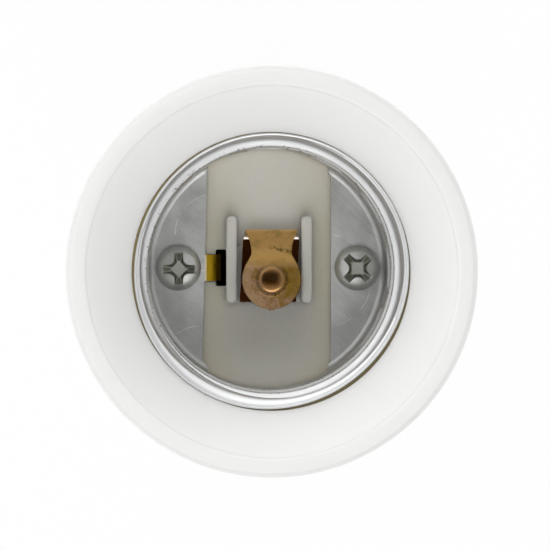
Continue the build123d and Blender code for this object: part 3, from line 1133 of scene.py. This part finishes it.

# %% [markdown]
# ## Tarnished copper
# The colours are laid over each other from the leg's dark copper up, each by its mask; that dark
# is painted, for the dark that the polished leg mirrors. A colour ramp could hold them only along
# one value. A list keeps their order plain, and a loop mixes them.

# %% Tarnished copper
colour = (0.14, 0.04, 0.008)  # painted dark, for the dark that the polished leg mirrors; under all the layers
olive, pale, brown = (0.20, 0.115, 0.005), (0.62, 0.42, 0.27), (0.08, 0.03, 0.005)
layers = [
    # painted pale inside the fold, so that the glint there shows white
    (in_fold, (0.95, 0.84, 0.74)),
    (on_arm, (0.95, 0.59, 0.22)),
    (0.8 * knee, (0.40, 0.24, 0.075)),
    (on_plate, (0.28, 0.165, 0.08)),
    (on_arm * fade(stains, 0.48, 0.68) * 0.3, olive),
    (0.6 * creased, olive),
    (on_plate * fade(spots, 0.45, 0.62) * 0.3, pale),
    (on_plate * fade(patches, 0.5, 0.64) * 0.6, olive),
    (0.7 * shadowed, olive),
    (0.25 * rubbed, pale),
    (0.9 * nipple_face, (0.40, 0.225, 0.095)),
    # painted dark reflection on the nipple's top
    (on_top * (0.55 + 0.35 * dark_reflection), (0.16, 0.06, 0.008)),
    (0.85 * marks, brown),
]
for share, layer in layers:
    colour = tint(share, colour, layer)
copper.feed("Base Color", colour)
matt = on_arm * (1 - nipple_face)
copper.feed("Roughness", 0.13 + 0.05 * stains + 0.13 * in_fold + matt * (0.18 + 0.12 * spots))
relief(copper, spots * (1 - 0.75 * nipple_face), 0.02)
wear(copper, contact)

# %% [markdown]
# ## Brass, nickel and black
# The leads and the end contact are brass gone olive, the small base is plated bright, and its
# plug is a glossy black glass. A cloudy noise keeps them from looking new. The centre lead and
# the rivet keep their CAD shape, since little of them shows.

# %% Brass, nickel and black
brass = Finish("lead_brass", Metallic=1.0)
aged = noise(brass.place, 0.9, 5.0, 0.6)
olive_brass = tint(aged, (0.36, 0.225, 0.006), (0.52, 0.34, 0.022))
# painted highlight: a pale line on the strip just beside the lug's straight edge
strip_end = -lug_edge + 0.25
painted_edge_highlight = fade(brass.x, strip_end + 0.1, strip_end) * fade(brass.z, floor - 3, floor - 1)
brass.feed("Base Color", tint(painted_edge_highlight, olive_brass, (0.84, 0.74, 0.54)))
brass.feed("Roughness", 0.26 + 0.2 * aged)
relief(brass, noise(brass.place, 5.0), 0.01)
wear(brass, strip, nodes["centre_lead"], nodes["contact_rivet"], end_contact)

nickel = Finish("base_nickel", Metallic=1.0)
drawn = noise(stretched(nickel.x * 0.2, nickel.y * 0.2, nickel.z * 8.0), 1.0, 4.0)
hazy = noise(nickel.place, 0.3, 4.0)
nickel.feed("Base Color", tint(hazy, (0.66, 0.64, 0.60), (0.80, 0.785, 0.75)))
nickel.feed("Roughness", 0.18 + 0.12 * drawn + 0.12 * hazy)
relief(nickel, drawn, 0.01)
wear(nickel, cap)

glass = Finish("black_insulator", IOR=1.5)
flow = noise(glass.place, 0.5, 4.0)
glass.feed("Base Color", tint(flow, (0.012, 0.012, 0.014), (0.03, 0.029, 0.03)))
glass.feed("Roughness", 0.14 + 0.2 * flow)
relief(glass, flow, 0.05)
wear(glass, plug)

# %% [markdown]
# ## Floor
# The photograph's ground is pure white. The floor is pale and takes the part's shadow, and for
# the camera and for reflections most of it is a plain white glow, so it stays white. A shadow
# catcher would need a second picture behind it.

# %% Floor
floor_low = cad_low[2] - 0.0002
reach = 3.0


def level_sheet(name, low, high):
    """A level rectangle between two opposite corners in metres."""
    mesh = bpy.data.meshes.new(name)
    corners = [low, (high.x, low.y, low.z), high, (low.x, high.y, low.z)]
    mesh.from_pydata(corners, [], [(0, 1, 2, 3)])
    return add_object(name, mesh)


ground = level_sheet("ground", Vector((-reach, -reach, floor_low)), Vector((reach, reach, floor_low)))
paper = Finish("white_ground", Roughness=0.9)
kinds = ("Camera", "Glossy", "Transmission")
seen = [paper.node("LightPath", {}, {}, f"Is {kind} Ray") for kind in kinds]
fibres = noise(paper.place, 0.02)
paper.feed("Base Color", tint(fibres, (0.86, 0.86, 0.86), (0.88, 0.88, 0.88)))
glow = paper.node("Emission", {}, {"Color": (1, 1, 1, 1), "Strength": 1.0})
share = 0.95 * seen[0].maths("MINIMUM", seen[0] + seen[1] + seen[2], 1.0)
matt_paper = Socket(paper, paper.shader.outputs[0])
mixed = paper.node("MixShader", {}, {0: share, 1: matt_paper, 2: glow})
paper.tree.links.new(mixed.socket, paper.tree.nodes["Material Output"].inputs["Surface"])
wear(paper, ground)
print(f"floor at {floor_low / MM:.1f} mm")

# %% [markdown]
# ## Tent
# The part stood in a white tent. The world gives the light of its walls: a bright ring, stronger
# at the back and the left, dimmer above it and near the floor. The camera sees plain white. A
# picture of a tent could light the world too, but a few steps of the height are enough.

# %% Tent
world = bpy.data.worlds.new("tent")
scene.world = world
tent = Net(world)
low_light, ring_light, upper_light, top_light = 0.4, 1.12, 0.4, 0.62
floor_ends, ring_ends, top_ends = (0.32, 0.12), (0.78, 0.64), (0.88, 0.96)
slant, slant_left = 0.42, 0.6
way = tent.node("TexCoord", {}, {}, "Generated")
to_right, to_back, height = tent.split(way)
near_floor, in_ring, near_top = (fade(height, *ends) for ends in (floor_ends, ring_ends, top_ends))
ring = ring_light * (1 + slant * (to_back - slant_left * to_right))
level = upper_light + (ring - upper_light) * in_ring + (top_light - upper_light) * near_top
level = level + (low_light - level) * near_floor
even = tent.node("Background", {}, {"Color": (1, 1, 1, 1), "Strength": level})
plain = tent.node("Background", {}, {"Color": (1, 1, 1, 1), "Strength": 1.0})
to_camera = tent.node("LightPath", {}, {}, "Is Camera Ray")
chosen = tent.node("MixShader", {}, {0: to_camera, 1: even, 2: plain})
tent.tree.links.new(chosen.socket, tent.tree.nodes["World Output"].inputs["Surface"])
print(f"tent with a ring of light of {ring_light}")

# %% [markdown]
# ## Lamps and card
# A large soft lamp at the back left gives the shading, and a smaller one in front fills it in.
# Small lamps would throw hard shadows, unlike a tent. A dark card round the lens is what the
# flat metal shows.

# %% Lamps and card
def lamp(name, at, size, watts):
    """A round soft lamp at a place in metres, aimed at the mouth."""
    light = bpy.data.lights.new(name, "AREA")
    light.shape, light.size, light.energy = "DISK", size, watts
    piece = add_object(name, light)
    piece.location = at
    aim = Vector((0, 0, mouth * MM)) - Vector(at)
    piece.rotation_euler = aim.to_track_quat("-Z", "Y").to_euler()


lamp("key", (-0.45, 0.95, 1.05), 2.0, 4.0)
lamp("fill", (0.05, -0.75, 1.15), 1.0, 5.6)

card_low, card_high = Vector((-67, -40, 385)) * MM, Vector((57, 45, 385)) * MM
card = level_sheet("card", card_low, card_high)
cloth = Finish("dark_card", Roughness=0.8)
weave = noise(cloth.place, 0.5)
cloth.feed("Base Color", tint(weave, (0.015, 0.014, 0.013), (0.03, 0.028, 0.026)))
wear(cloth, card)
print("two lamps, and a dark card round the lens")

# %% [markdown]
# ## Camera
# The picture is taken from above with a long lens, a few millimetres off the axis, so the floor
# of the well isn't quite in the middle of the mouth. A constraint could aim the camera, but a
# matrix from three directions shows how it is turned.

# %% Camera
eye = Vector((-5.2, 4.9, 372.0))
aim_at = Vector((0.38, -0.41, mouth))
lens = bpy.data.cameras.new("camera")
lens.sensor_width, lens.lens = 36.0, 146.0
camera = add_object("camera", lens)
back = (eye - aim_at).normalized()
right = Vector((0, 1, 0)).cross(back).normalized()
up = back.cross(right)
camera.matrix_world = Matrix.Translation(eye * MM) @ Matrix((right, up, back)).transposed().to_4x4()
scene.camera = camera
scene.view_settings.view_transform = "Standard"
print(f"camera {eye.z - mouth:.0f} mm above the mouth")
